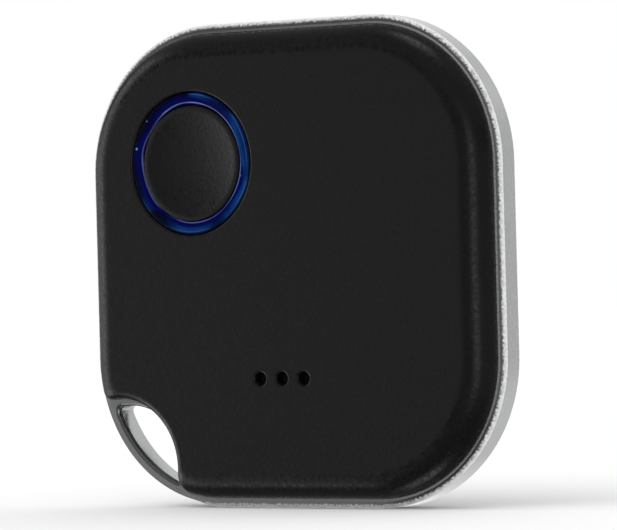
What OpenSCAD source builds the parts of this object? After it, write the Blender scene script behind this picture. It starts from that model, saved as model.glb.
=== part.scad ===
// A key-fob smart button: two black moulded shells plugged into a bright metal band,
// a press button in a blue light ring, a sounder behind three holes, a key loop at one
// corner, and a coin cell under a cover that snaps off the back.
// The tag stands upright on its band, with its face towards -Y.

/* [Tag] */
// Width and height across the metal band
tag_size = 36; // [36:0.5:44]
// Corner radius of the metal band
corner_r = 11; // [9:0.5:13]
// Depth of the metal band, front to back
band_h = 2.1; // [1.9:0.1:2.6]
// Step from the band's side in to the shells
band_step = 0.67; // [0.5:0.01:0.8]
// Wall of the band, and of the bar of the key loop
band_wall = 1.05; // [0.95:0.05:1.4]
// Bevel along the band's outer edges
band_bevel = 0.3; // [0.1:0.05:0.4]

/* [Shells] */
// Wall of the front shell behind its face
front_wall = 0.9; // [0.8:0.05:1.4]
// Wall of the back cover
back_wall = 0.8; // [0.6:0.05:1.4]
// Wall of the skirts that plug into the band
skirt_wall = 0.7; // [0.6:0.05:1]
// Play between the skirts and the band
skirt_play = 0.05; // [0.03:0.01:0.1]
// How far the cover's skirt plugs into the band
cover_plug = 0.5; // [0.3:0.05:0.7]
// Thickness of the seal between the two skirts
seal_t = 0.2; // [0.15:0.05:0.4]
// Width of the slot for prying the cover off
pry_w = 7; // [4:0.5:10]
// Height of the pry slot
pry_h = 0.55; // [0.3:0.05:0.8]
// Depth of the pry slot
pry_depth = 0.6; // [0.3:0.05:0.7]

/* [Snap arms] */
// Width of each snap arm on the cover
arm_w = 3; // [2:0.25:4]
// Thickness of each snap arm
arm_t = 0.5; // [0.4:0.05:0.7]
// How far each arm's bead stands out
bead = 0.22; // [0.1:0.02:0.3]

/* [Key loop] */
// Radius of the notch that the loop spans
notch_r = 5.25; // [4.6:0.05:5.8]
// Distance of the notch's centre from the tag's sides
notch_set = 2.95; // [2.6:0.05:3.4]
// Rounding of the shells' edge along the notch
notch_edge_r = 0.65; // [0.3:0.05:0.8]
// Rounding where the notch meets the shells' outline
horn_r = 0.7; // [0.3:0.05:1]
// Width of the band's rim along the notch
loop_rim = 0.6; // [0.4:0.05:0.9]
// Rounding of the loop's two ends
loop_end_r = 0.4; // [0.2:0.05:0.6]

/* [Button] */
// Distance of the button's centre from the tag's sides
button_set = 10.35; // [10:0.05:11.5]
// Outer radius of the light ring
ring_r = 5.26; // [5:0.02:5.6]
// Width of the light ring around the cap
ring_w = 0.98; // [0.8:0.02:1.2]
// Depth of the light ring below the face
ring_drop = 0.06; // [0.02:0.02:0.2]
// Width and height of the light ring's hidden flange
ring_flange = 0.48; // [0.35:0.01:0.6]
// Play round the light ring and round the cap
button_play = 0.07; // [0.05:0.01:0.1]
// Rounding of the opening's edge in the face
opening_edge_r = 0.18; // [0.05:0.01:0.25]
// Depth of the cap's rim below the face
cap_drop = 0.12; // [0.1:0.02:0.3]
// Width of the cap's flat rim
cap_rim = 0.36; // [0.25:0.01:0.6]
// Depth of the finger dish inside the rim
cap_dish = 0.42; // [0.1:0.02:0.46]
// Thickness of the cap behind the dish
cap_web = 0.34; // [0.25:0.01:0.36]
// Travel of the cap
press = 0.25; // [0.15:0.01:0.27]

/* [Sound holes] */
// Diameter of each sound hole
sound_d = 1.1; // [0.8:0.05:1.4]
// Rounding of the sound holes' edges
sound_edge_r = 0.12; // [0.05:0.01:0.2]
// Distance between sound holes
sound_pitch = 1.91; // [1.7:0.01:2.4]
// Number of sound holes
sound_count = 3; // [1:1:3]
// Distance of the sound holes from the tag's lower side
sound_set = 9.58; // [9.3:0.02:10]
// Radius of the sounder's metal plate
plate_r = 6; // [5.4:0.1:6.1]
// Thickness of the sounder's metal plate
plate_t = 0.15; // [0.1:0.01:0.2]
// Radius of the sounder's ceramic disc
ceramic_r = 4.4; // [4.2:0.1:4.6]
// Thickness of the sounder's ceramic disc
ceramic_t = 0.15; // [0.1:0.01:0.2]
// Thickness of the adhesive ring that holds the sounder
adhesive_t = 0.12; // [0.1:0.01:0.2]

/* [Board] */
// Thickness of the circuit board
board_t = 0.6; // [0.4:0.05:0.8]
// Room between the front wall and the board
board_room = 1.4; // [1.4:0.05:1.8]
// Play between the board and what it fits in
board_play = 0.2; // [0.1:0.05:0.4]
// Width of the press switch
switch_w = 3.5; // [3:0.1:4]
// Height of the press switch's base
switch_h = 0.65; // [0.6:0.01:0.7]
// Radius of the screws' threads
screw_r = 0.7; // [0.5:0.05:0.8]
// Radius of the screws' heads
screw_head_r = 1.15; // [1:0.05:1.3]
// Height of the screws' heads
screw_head_h = 0.45; // [0.3:0.05:0.6]
// Radius of the bosses that take the screws
boss_r = 1.3; // [1.2:0.05:1.4]

/* [Coin cell] */
// How much narrower the coin cell is than the tag
cell_margin = 16; // [15.5:0.1:18]
// Thickness of the coin cell
cell_t = 3.2; // [2.5:0.1:4]
// Room between the cell's tray and the tag's right and lower sides
cell_side = 2.7; // [2.5:0.05:3]
// Play between the cell and its tray
cell_play = 0.15; // [0.1:0.05:0.3]
// Room behind the cell, under the cover
cell_room = 0.2; // [0.1:0.05:0.5]
// Wall of the cell's tray
tray_wall = 0.7; // [0.5:0.05:0.9]
// Floor of the cell's tray
tray_floor = 0.25; // [0.2:0.05:0.5]
// Thickness of the tray's screw ears
ear_t = 0.4; // [0.3:0.05:0.6]
// Sheet thickness of the negative contact
contact_t = 0.13; // [0.1:0.01:0.2]
// Sheet thickness of the positive contact
clip_t = 0.2; // [0.15:0.01:0.25]

/* [Hidden] */
$fn = 96;

// Room between the sounder and the tray, and the least gap between neighbouring pieces
sounder_room = 0.1;
slip = 0.02;
// How far a cutting shape runs past the faces that it cuts
over = 1;

// Thickness of the tag, from what it holds
sounder_t = adhesive_t + plate_t + ceramic_t;
cell_stack = sounder_t + sounder_room + tray_floor + contact_t + cell_t + cell_room;
tag_t = front_wall + cell_stack + back_wall;

// Levels along the thickness, with zero at the middle of the band
face_z = tag_t / 2;
rim_z = band_h / 2;
front_in_z = face_z - front_wall;
back_in_z = back_wall - face_z;
plate_z = front_in_z - adhesive_t;
ceramic_z = plate_z - plate_t;
tray_z = front_in_z - sounder_t - sounder_room;
tray_in_z = tray_z - tray_floor;
cell_z = tray_in_z - contact_t;
cell_back_z = cell_z - cell_t;
board_z = front_in_z - board_room;
board_back_z = board_z - board_t;
seal_z = cover_plug - rim_z;
front_skirt_z = seal_z + seal_t + slip;

// Outlines: each inset is measured in from the shells' outline
half = tag_size / 2;
edge_r = face_z - rim_z;
shell_half = half - band_step;
shell_corner_r = corner_r - band_step;
band_inset = band_wall - band_step;
skirt_inset = band_inset + skirt_play;
cavity_inset = skirt_inset + skirt_wall;
board_inset = cavity_inset + board_play;
cavity_half = shell_half - cavity_inset;

// Coin cell and its tray, seen from the front
cell_r = (tag_size - cell_margin) / 2;
tray_in_r = cell_r + cell_play;
tray_r = tray_in_r + tray_wall;

// Places on the face
corner_c = (corner_r - half) * [1, 1];
notch_c = (notch_set - half) * [1, 1];
button_c = (half - button_set) * [-1, 1];
sound_c = [0, sound_set - half];
cell_c = (half - tray_r - cell_side) * [1, -1];

// Button and light ring
cap_r = ring_r - ring_w;
ring_bore_r = cap_r + button_play;
opening_r = ring_r + button_play;
ring_top_z = face_z - ring_drop;
ring_back_z = front_in_z - ring_flange;
ring_edge_r = 0.25;
cap_edge_z = face_z - cap_drop;
cap_bevel = 0.05;
cap_web_z = cap_edge_z - cap_dish - cap_web;
cap_lip = 0.28;
cap_lip_t = 0.25;
cap_lip_up = 0.08;
cap_lip_z = ring_back_z + cap_lip_up;
cap_skirt = 0.6;
cap_boss_r = 1;
dish_r = cap_r - cap_rim;
dish_sphere_r = (dish_r * dish_r + cap_dish * cap_dish) / (2 * cap_dish);

// Press switch, from the board up
switch_floor = 0.08;
switch_pocket_r = 1.35;
switch_plate_t = 0.08;
plunger_r = 0.6;
plunger_foot_r = 0.9;
plunger_foot_t = 0.15;
plunger_spare = 0.05;
plunger_up = press + plunger_spare;
switch_top_z = board_z + switch_h + switch_plate_t;
plunger_top_z = switch_top_z + plunger_up;
plunger_z = board_z + switch_floor + press + slip;
dome_t = 0.05;
dome_rise = plunger_z - slip - board_z - switch_floor;
cap_boss_z = plunger_top_z + slip;

// Leaf springs that feed the sounder
spring_t = 0.08;
spring_w = 0.8;
spring_foot = 1.2;
spring_gap = 0.5;
spring_lap = 0.8;
spring_x = max(plate_r, tray_r - cell_c[0]) + spring_gap;

// Coin cell and its contacts
tray_room = 0.3;
tray_back_z = back_in_z + tray_room;
can_lip = 0.8;
gasket_w = 0.35;
cell_step = 0.45;
can_lip_z = cell_z - cell_step;
gasket_rise = 0.06;
can_deep = 0.5;
clip_angle = 135;
clip_w = 2.4;
clip_foot = 2.2;
clip_arm = 1.7;
tail_angle = 100;
tail_w = 2;
tail_foot = 1.3;
star_arms = 3;
finger_angle = -45;
finger_w = 8;

// Screws: the first goes through the board alone, the second through the tray and the
// board, and the third through the tray alone. Each has its distance from the tag's left,
// right or lower side, and its distance up from the notch's centre or out from the tray
screw_sets = [4.4, 3.8, 3.7];
screw_reach = [10.55, 4.65, 2.46];
right_leg = half - screw_sets[1] - cell_c[0];
right_rise = leg(tray_r + screw_reach[1], right_leg);
lower_leg = half - screw_sets[2] + cell_c[1];
screw_places = [
    [screw_sets[0] - half, notch_c[1] + screw_reach[0]],
    cell_c + [right_leg, right_rise],
    cell_c - [leg(tray_r + screw_reach[2], lower_leg), lower_leg]
];
screw_seats = [board_back_z, board_back_z - ear_t, board_back_z - ear_t];
boss_backs = [board_z, board_z, board_back_z];
tray_screws = [1, 2];
screw_bite = 1.2;
board_lap = 0.48;
ear_r = 1.5;

// Snap arms: the side that each is on, as an angle, and how far it sits along that side
arm_end = half - corner_r - 2 * arm_w / 3;
arm_places = [[0, arm_w / 3], [90, -arm_w], [180, -arm_w], [270, arm_end]];
arm_gap = 0.1;
arm_tip_z = board_back_z - arm_gap;
bead_h = 0.25;

// Small parts on the board
small_l = 1;
small_w = 0.5;
led_h = 0.5;
capacitor_h = 0.5;
resistor_h = 0.35;
led_size = [small_l, small_w, led_h];
capacitor_size = [small_l, small_w, capacitor_h];
resistor_size = [small_l, small_w, resistor_h];
led_count = 4;
led_turn = 45;
led_radius = (cap_r + cap_lip + ring_r) / 2;
chip_size = [4, 4, 0.85];
crystal_size = [2, 1.6, 0.5];
antenna_size = [3.2, 1.6, 0.9];
// Places of the small parts on the board's back: the chip, the crystal and the row of
// capacitors from the button's centre, and the row of resistors from the first screw
chip_place = [-2.5, 2];
crystal_place = [2.4, 3.4];
capacitor_start = [2, 5.9];
capacitor_pitch = 1.5;
capacitor_count = 5;
resistor_start = [0.35, 4.55];
resistor_pitch = 1.2;
resistor_count = 4;
// The aerial follows the board's upper right corner, at this angle round it
antenna_angle = 60;
antenna_turn_r = shell_corner_r - board_inset - antenna_size[1];

// Points where two circles meet, on the side given by the sign
function meet(c1, r1, c2, r2, side) =
    let (
        d = norm(c2 - c1),
        u = (c2 - c1) / d,
        along = (d * d + r1 * r1 - r2 * r2) / (2 * d),
        off = sqrt(r1 * r1 - along * along)
    )
    c1 + along * u + side * off * [-u[1], u[0]];

function unit(v) = v / norm(v);

// The other short side of a triangle with a right angle
function leg(long_side, side) = sqrt(long_side * long_side - side * side);

// Stands the tag up: its face turns to -Y and its lowest edge comes to zero
module stand_up() {
    translate([0, 0, half]) rotate([90, 0, 0]) children();
}

// Lifts a flat outline to a slab between two levels
module slab(z0, z1) {
    translate([0, 0, z0]) linear_extrude(z1 - z0) children();
}

// A round disc or post between two levels
module disc(r, z0, z1) {
    translate([0, 0, z0]) cylinder(h = z1 - z0, r = r);
}

// A box that stands on a level, or hangs below it, centred on the axis
module chip(size, z, up = 1) {
    translate([0, 0, z + up * size[2] / 2]) cube(size, center = true);
}

module rounded_square(h, r) {
    square([2 * h, 2 * (h - r)], center = true);
    square([2 * (h - r), 2 * h], center = true);
    for (x = [-1, 1], y = [-1, 1]) translate((h - r) * [x, y]) circle(r);
}

// The shells' outline drawn in by an inset, with the notch for the key loop
module outline(inset) {
    difference() {
        rounded_square(shell_half - inset, shell_corner_r - inset);
        translate(notch_c) circle(notch_r + inset);
    }
}

// The sharp tip outside a round that blends the outline's corner into the notch
module horn_tip(side) {
    r1 = shell_corner_r + slip / 2;
    r2 = notch_r - slip / 2;
    c = meet(corner_c, r1 - horn_r, notch_c, r2 + horn_r, side);
    tip = meet(corner_c, r1, notch_c, r2, side);
    outward = unit(c - corner_c);
    inward = unit(notch_c - c);
    difference() {
        polygon([
            c,
            c + (horn_r + over) * outward,
            tip + over * (outward + inward),
            c + (horn_r + over) * inward
        ]);
        translate(c) circle(horn_r);
    }
}

// A rounded square whose rim has the child's profile, drawn from the corner's axis out
module rim_slab(h, r, z0, z1) {
    straight = h - r;
    for (a = [0 : 90 : 270]) {
        rotate(a) translate(straight * [1, 1]) rotate_extrude(angle = 90) children();
    }
    for (a = [0, 90]) rotate([90, 0, a]) linear_extrude(2 * straight, center = true) {
        translate([-straight, z0]) square([2 * straight, z1 - z0]);
        for (m = [0, 1]) mirror([m, 0]) translate([straight, 0]) children();
    }
}

// A quarter-round rim from the band up to the face
module round_rim() {
    flat = shell_corner_r - edge_r;
    translate([0, rim_z]) square([flat, edge_r]);
    intersection() {
        translate([flat, rim_z]) circle(edge_r);
        translate([0, rim_z]) square([shell_corner_r, edge_r]);
    }
}

// A cutting shape for a round hole or notch, flared to a rounded edge at the face
module flared_cut(r, edge_round) {
    flare_r = r + edge_round;
    rotate_extrude() {
        square([r, face_z + over]);
        difference() {
            translate([0, face_z - edge_round]) square([flare_r, edge_round + over]);
            translate([flare_r, face_z - edge_round]) circle(edge_round);
        }
    }
}

// The domed outer form that both shells share, from the band to the face
module shell_form() {
    difference() {
        rim_slab(shell_half, shell_corner_r, rim_z, face_z) round_rim();
        for (side = [-1, 1]) slab(rim_z - over, face_z + over) horn_tip(side);
        translate(notch_c) flared_cut(notch_r, notch_edge_r);
    }
}

module sound_places() {
    for (i = [0 : sound_count - 1]) {
        translate(sound_c + [(i - (sound_count - 1) / 2) * sound_pitch, 0]) children();
    }
}

// Places a child at each snap arm, with +X towards the side that the arm is on
module arms() {
    for (a = arm_places) rotate(a[0]) translate([cavity_half, a[1], 0]) children();
}

// The groove in the front skirt that a snap arm's bead slides into
module bead_groove() {
    depth = bead + skirt_play;
    groove_w = arm_w + 2 * board_play;
    translate([-over, -groove_w / 2, front_skirt_z - over])
        cube([over + depth, groove_w, arm_tip_z + over + board_play - front_skirt_z]);
}

module snap_arm() {
    root_z = seal_z - slip;
    translate([-arm_t - skirt_play, -arm_w / 2, back_in_z - slip])
        cube([arm_t, arm_w, arm_tip_z - back_in_z + slip]);
    translate([-arm_t, -arm_w / 2, back_in_z - slip])
        cube([arm_t + skirt_wall / 2, arm_w, root_z - back_in_z + slip]);
    translate([-skirt_play - arm_t / 2, -arm_w / 2, arm_tip_z - bead_h])
        cube([arm_t / 2 + bead, arm_w, bead_h]);
}

module front_shell() {
    color("#212121") stand_up() {
        difference() {
            union() {
                shell_form();
                slab(front_skirt_z, rim_z + edge_r / 4) outline(skirt_inset);
            }
            slab(front_skirt_z - over, front_in_z) outline(cavity_inset);
            translate(button_c) flared_cut(opening_r, opening_edge_r);
            sound_places() flared_cut(sound_d / 2, sound_edge_r);
            arms() bead_groove();
        }
        for (i = [0 : len(screw_places) - 1]) translate(screw_places[i]) screw_boss(boss_backs[i]);
    }
}

// A boss on the inside of the front wall, bored for a screw
module screw_boss(back_z) {
    difference() {
        disc(boss_r, back_z, front_in_z + front_wall / 4);
        disc(screw_r + slip, back_z - over, back_z + screw_bite);
    }
}

// The opening between the band's corner and its rim along the notch
module loop_hole() {
    r1 = corner_r - band_wall;
    r2 = notch_r - loop_rim;
    difference() {
        intersection() {
            rounded_square(half - band_wall, r1);
            translate(notch_c) circle(r2);
        }
        for (side = [-1, 1]) {
            c = meet(corner_c, r1 - loop_end_r, notch_c, r2 - loop_end_r, side);
            end = meet(corner_c, r1, notch_c, r2, side);
            out1 = unit(c - corner_c);
            out2 = unit(c - notch_c);
            difference() {
                polygon([
                    c,
                    c + (loop_end_r + over) * out1,
                    end + over * (out1 + out2),
                    c + (loop_end_r + over) * out2
                ]);
                translate(c) circle(loop_end_r);
            }
        }
    }
}

// The band's section: a flat side between two bevels
module bevelled_rim() {
    side_z = rim_z - band_bevel;
    polygon([
        [0, -rim_z],
        [corner_r - band_bevel, -rim_z],
        [corner_r, -side_z],
        [corner_r, side_z],
        [corner_r - band_bevel, rim_z],
        [0, rim_z]
    ]);
}

module frame_band() {
    color("#b4b6b8") stand_up() difference() {
        rim_slab(half, corner_r, -rim_z, rim_z) bevelled_rim();
        slab(-rim_z - over, rim_z + over) {
            outline(band_inset);
            loop_hole();
        }
    }
}

module back_cover() {
    rib_r = cell_r / 2;
    color("#242424") stand_up() {
        difference() {
            union() {
                mirror([0, 0, 1]) shell_form();
                slab(-rim_z - edge_r / 4, seal_z) outline(skirt_inset);
            }
            slab(back_in_z, seal_z + over) outline(cavity_inset);
            translate([-pry_w / 2, -shell_half - over, -rim_z - pry_h])
                cube([pry_w, over + pry_depth, pry_h]);
        }
        arms() snap_arm();
        translate(cell_c) difference() {
            disc(rib_r + tray_wall, back_in_z - slip, cell_back_z - cell_room / 4);
            disc(rib_r, back_in_z - over, cell_back_z);
        }
    }
}

module cover_seal() {
    color("#3a3d42") stand_up() slab(seal_z, seal_z + seal_t) difference() {
        outline(skirt_inset);
        outline(cavity_inset);
    }
}

module light_ring() {
    color("#1238a8") stand_up() translate(button_c) rotate_extrude() difference() {
        union() {
            translate([ring_bore_r, ring_back_z])
                square([ring_r - ring_bore_r, ring_top_z - ring_edge_r - ring_back_z]);
            translate([ring_bore_r + ring_edge_r, ring_back_z])
                square([ring_r - ring_bore_r - 2 * ring_edge_r, ring_top_z - ring_back_z]);
            for (x = [ring_bore_r + ring_edge_r, ring_r - ring_edge_r]) {
                translate([x, ring_top_z - ring_edge_r]) circle(ring_edge_r);
            }
            translate([ring_bore_r, ring_back_z]) square([ring_r + ring_flange - ring_bore_r, ring_flange]);
        }
        translate([0, ring_back_z - over])
            square([cap_r + cap_lip + 2 * button_play, over + cap_lip_z + cap_lip_t + slip - ring_back_z]);
    }
}

module button_cap() {
    lip_r = cap_r + cap_lip;
    lip_top_z = cap_lip_z + cap_lip_t;
    dish_z = cap_edge_z - cap_dish;
    color("#232323") stand_up() translate(button_c) rotate_extrude() difference() {
        polygon([
            [0, cap_lip_z],
            [lip_r, cap_lip_z],
            [lip_r, lip_top_z],
            [cap_r, lip_top_z],
            [cap_r, cap_edge_z - cap_bevel],
            [cap_r - cap_bevel, cap_edge_z],
            [0, cap_edge_z]
        ]);
        translate([0, dish_z + dish_sphere_r]) circle(dish_sphere_r, $fn = 1440);
        translate([cap_boss_r, cap_lip_z - over])
            square([cap_r - cap_skirt - cap_boss_r, cap_web_z + over - cap_lip_z]);
        translate([0, cap_lip_z - over]) square([cap_boss_r + slip, cap_boss_z + over - cap_lip_z]);
    }
}

module switch_plunger() {
    color("#1b1b1d") stand_up() translate(button_c) {
        disc(plunger_r, plunger_z, plunger_top_z);
        disc(plunger_foot_r, plunger_z, plunger_z + plunger_foot_t);
    }
}

module switch_plate() {
    color("#c9cbcd") stand_up() translate(button_c) difference() {
        chip([switch_w, switch_w, switch_plate_t], board_z + switch_h);
        disc(plunger_r + button_play, board_z, face_z);
    }
}

// A thin snap dome that the plunger turns inside out
module switch_dome() {
    r = switch_pocket_r - 2 * button_play;
    sphere_r = (r * r + dome_rise * dome_rise) / (2 * dome_rise);
    floor_z = board_z + switch_floor;
    color("#d8d9da") stand_up() translate(button_c) intersection() {
        translate([0, 0, floor_z + dome_rise - sphere_r]) difference() {
            sphere(sphere_r, $fn = 360);
            sphere(sphere_r - dome_t, $fn = 360);
        }
        disc(r, floor_z, floor_z + dome_rise);
    }
}

module switch_base() {
    color("#2a2b2d") stand_up() translate(button_c) difference() {
        chip([switch_w, switch_w, switch_h], board_z);
        disc(switch_pocket_r, board_z + switch_floor, face_z);
    }
}

module ring_leds() {
    color("#e8e6d8") stand_up() translate(button_c) for (i = [0 : led_count - 1]) {
        rotate(led_turn + i * 360 / led_count) translate([led_radius, 0]) rotate(90) chip(led_size, board_z);
    }
}

module dust_mesh() {
    mesh_r = sound_pitch * (sound_count - 1) / 2 + sound_d;
    color("#141414") stand_up() translate(sound_c) disc(mesh_r, front_in_z - adhesive_t / 2, front_in_z);
}

module sounder_adhesive() {
    color("#e9e4d2") stand_up() translate(sound_c) difference() {
        disc(plate_r, plate_z, front_in_z);
        disc(ceramic_r, plate_z - over, front_in_z + over);
    }
}

module sounder_plate() {
    color("#c9a24b") stand_up() translate(sound_c) disc(plate_r, ceramic_z, plate_z);
}

module sounder_ceramic() {
    color("#e6e2da") stand_up() translate(sound_c) disc(ceramic_r, ceramic_z - ceramic_t, ceramic_z);
}

// A leaf spring from the board to the sounder: a foot, a riser and a finger
module leaf_spring(top_z, reach) {
    translate([0, -spring_w / 2, 0]) {
        translate([-spring_foot, 0, board_z]) cube([spring_foot, spring_w, spring_t]);
        translate([-spring_t, 0, board_z]) cube([spring_t, spring_w, top_z - board_z]);
        translate([-spring_t, 0, top_z - spring_t]) cube([reach + spring_t, spring_w, spring_t]);
    }
}

module sounder_springs() {
    plate_reach = spring_x - plate_r + spring_lap;
    ceramic_reach = spring_x - ceramic_r + spring_lap / 2;
    color("#d3b87a") stand_up() translate(sound_c) {
        translate([-spring_x, -2 * spring_w]) leaf_spring(ceramic_z, plate_reach);
        translate([-spring_x, spring_w]) leaf_spring(ceramic_z - ceramic_t, ceramic_reach);
    }
}

// The board is a crescent round the cell's tray, cut off square past the second screw
module circuit_board() {
    cut = tag_size;
    end = (right_leg - right_rise) / sqrt(2) + screw_head_r + board_lap;
    color("#1d5a3a") stand_up() slab(board_back_z, board_z) difference() {
        outline(board_inset);
        translate(cell_c) {
            circle(tray_r + board_play);
            rotate(finger_angle) translate([end, -cut]) square([cut, 2 * cut]);
        }
        for (i = [0, 1]) translate(screw_places[i]) circle(screw_r + board_play / 2);
        translate(screw_places[2]) circle(boss_r + board_play);
    }
}

module radio_chip() {
    color("#18191b") stand_up() translate(button_c + chip_place) chip(chip_size, board_back_z, -1);
}

module crystal() {
    color("#c4c6c8") stand_up() translate(button_c + crystal_place) chip(crystal_size, board_back_z, -1);
}

module chip_antenna() {
    color("#dfe3e0") stand_up() translate(-corner_c) rotate(antenna_angle) translate([antenna_turn_r, 0])
        rotate(90) chip(antenna_size, board_back_z, -1);
}

module capacitors() {
    color("#b79a72") stand_up() translate(button_c + capacitor_start) {
        for (i = [0 : capacitor_count - 1]) {
            translate([i * capacitor_pitch, 0]) chip(capacitor_size, board_back_z, -1);
        }
    }
}

module resistors() {
    color("#25262a") stand_up() translate(screw_places[0] + resistor_start) {
        for (i = [0 : resistor_count - 1]) {
            translate([0, i * resistor_pitch]) chip(resistor_size, board_back_z, -1);
        }
    }
}

module board_screws() {
    slot = screw_head_r;
    slot_w = 0.3;
    color("#8d9094") stand_up() for (i = [0 : len(screw_places) - 1]) translate(screw_places[i]) {
        seat = screw_seats[i];
        difference() {
            union() {
                disc(screw_r, seat - slip, boss_backs[i] + screw_bite - slip);
                disc(screw_head_r, seat - screw_head_h, seat);
            }
            for (a = [0, 90]) rotate(a) {
                chip([slot, slot_w, screw_head_h], seat - screw_head_h - screw_head_h / 2);
            }
        }
    }
}

// A slot through the tray's wall towards an angle, between two levels
module tray_slot(angle, width, z0, z1) {
    rotate(angle) translate([0, -width / 2, z0]) cube([tray_r + over, width, z1 - z0]);
}

// An ear on the tray that a screw goes through
module tray_ear(place) {
    v = place - cell_c;
    difference() {
        slab(board_back_z - ear_t, board_back_z) difference() {
            union() {
                translate(v) circle(ear_r);
                rotate(atan2(v[1], v[0])) translate([tray_in_r, -ear_r])
                    square([norm(v) - tray_in_r, 2 * ear_r]);
            }
            circle(tray_in_r + tray_wall / 2);
        }
        translate(v) disc(screw_r + board_play / 2, board_back_z - ear_t - over, board_back_z + over);
    }
}

module cell_tray() {
    color("#2b2c2e") stand_up() translate(cell_c) {
        difference() {
            disc(tray_r, tray_back_z, tray_z);
            disc(tray_in_r, tray_back_z - over, tray_in_z);
            tray_slot(clip_angle, clip_w + 2 * board_play, tray_back_z - over, board_back_z + board_play);
            tray_slot(tail_angle, tail_w + 2 * board_play, cell_z - board_play, tray_in_z);
            tray_slot(finger_angle, finger_w, tray_back_z - over, board_back_z - 2 * ear_t);
        }
        for (i = tray_screws) tray_ear(screw_places[i]);
    }
}

// A pressed star that bears on the cell's cap, with a tail bent down to the board
module negative_contact() {
    star_r = cell_r / 2;
    hub_r = cell_r / 4;
    tail_r = tray_r + board_play + tail_foot / 2;
    color("#d9dadb") stand_up() translate(cell_c) {
        slab(cell_z, tray_in_z) {
            circle(hub_r);
            for (i = [1 : star_arms]) rotate(tail_angle + (i - 0.5) * 360 / star_arms) {
                translate([0, -tail_w / 2]) square([star_r, tail_w]);
            }
            rotate(tail_angle) translate([0, -tail_w / 2]) square([tail_r, tail_w]);
        }
        rotate(tail_angle) translate([0, -tail_w / 2]) {
            translate([tail_r - contact_t, 0, board_z]) cube([contact_t, tail_w, tray_in_z - board_z]);
            translate([tail_r - contact_t, 0, board_z]) cube([tail_foot, tail_w, contact_t]);
        }
    }
}

// A bent strip that bears on the cell's side, soldered under the board
module positive_contact() {
    arm_r = cell_r + slip;
    foot_end = tray_r + board_play + clip_foot;
    color("#d0d1d3") stand_up() translate(cell_c) rotate(clip_angle) translate([0, -clip_w / 2]) {
        translate([arm_r, 0, board_back_z - clip_t]) cube([foot_end - arm_r, clip_w, clip_t]);
        translate([arm_r, 0, board_back_z - clip_arm]) cube([clip_t, clip_w, clip_arm]);
    }
}

module cell_can() {
    color("#c3c5c7") stand_up() translate(cell_c) difference() {
        disc(cell_r, cell_back_z, can_lip_z);
        disc(cell_r - can_lip, can_lip_z - can_deep, can_lip_z + over);
    }
}

module cell_gasket() {
    color("#4a4d52") stand_up() translate(cell_c) difference() {
        disc(cell_r - can_lip - slip, can_lip_z - can_deep, can_lip_z + gasket_rise);
        disc(cell_r - can_lip - gasket_w, can_lip_z - can_deep - over, can_lip_z + over);
    }
}

module cell_cap() {
    color("#b9bbbd") stand_up() translate(cell_c)
        disc(cell_r - can_lip - gasket_w - slip, can_lip_z - can_deep, cell_z);
}

front_shell();
frame_band();
back_cover();
cover_seal();
light_ring();
button_cap();
switch_plunger();
switch_plate();
switch_dome();
switch_base();
ring_leds();
dust_mesh();
sounder_adhesive();
sounder_plate();
sounder_ceramic();
sounder_springs();
circuit_board();
radio_chip();
crystal();
chip_antenna();
capacitors();
resistors();
board_screws();
cell_tray();
negative_contact();
positive_contact();
cell_can();
cell_gasket();
cell_cap();
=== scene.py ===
import math

import bmesh
import bpy
import numpy as np
from mathutils import Matrix
from mathutils.geometry import delaunay_2d_cdt


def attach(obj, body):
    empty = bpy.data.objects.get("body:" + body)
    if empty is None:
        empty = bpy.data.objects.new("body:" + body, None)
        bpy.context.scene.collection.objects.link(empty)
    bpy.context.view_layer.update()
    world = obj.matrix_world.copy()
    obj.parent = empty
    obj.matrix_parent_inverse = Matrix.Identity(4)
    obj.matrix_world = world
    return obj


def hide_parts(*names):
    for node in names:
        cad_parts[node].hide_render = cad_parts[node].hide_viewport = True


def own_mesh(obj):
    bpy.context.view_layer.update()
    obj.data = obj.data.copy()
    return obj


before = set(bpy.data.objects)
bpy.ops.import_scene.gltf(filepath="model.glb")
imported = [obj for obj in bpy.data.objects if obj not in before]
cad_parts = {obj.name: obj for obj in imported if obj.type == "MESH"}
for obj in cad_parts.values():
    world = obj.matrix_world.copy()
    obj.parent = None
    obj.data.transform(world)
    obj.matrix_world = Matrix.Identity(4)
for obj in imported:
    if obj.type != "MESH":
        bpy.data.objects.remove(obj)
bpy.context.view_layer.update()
scene = bpy.context.scene
scene.view_settings.view_transform = "Standard"

# Sizes in millimetres, as in the part's source. Points are worked out on the tag itself, with x to
# the right, y up the face and z out of the face, from the middle of the band.
MM = 0.001
# Half the width and the corner radius of the band and of the shells, whose corners share a centre
HALF, CORNER_R = 18.0, 11.0
SHELL_HALF, SHELL_R = 17.33, 10.33
CORNER_C = HALF - CORNER_R
# Heights of the face and of the band's front, and the quarter round between them
FACE_Z, RIM_Z = 3.0, 1.05
EDGE_R = FACE_Z - RIM_Z
# The notch: both coordinates of its centre, its radius, its edge's round and its horns' round
NOTCH_C, NOTCH_R, NOTCH_EDGE_R, HORN_R = -15.05, 5.25, 0.65, 0.7
# How far in from the shells' outline their skirts, their cavity and the band's inner side are
SKIRT_IN, CAVITY_IN, BAND_IN = 0.43, 1.13, 0.38
# Heights of the inside of the face and the foot of its skirt, and of the inside of the back and
# the seal on its skirt
FRONT_IN_Z, FRONT_SKIRT_Z = 2.1, -0.33
BACK_IN_Z, SEAL_Z = -2.2, -0.55
# The pry slot: half its width, the share of that which its floor takes, its height and its depth
PRY_HALF, PRY_FLOOR, PRY_H, PRY_DEPTH = 3.5, 0.995, 0.55, 0.6
# The band: how far its front falls outwards, its bevel's width, the radius and turn of the arc
BAND_FALL, BEVEL, BEVEL_ARC, BEVEL_TURN = 0.03, 0.24, 0.12, 40.0
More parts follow.
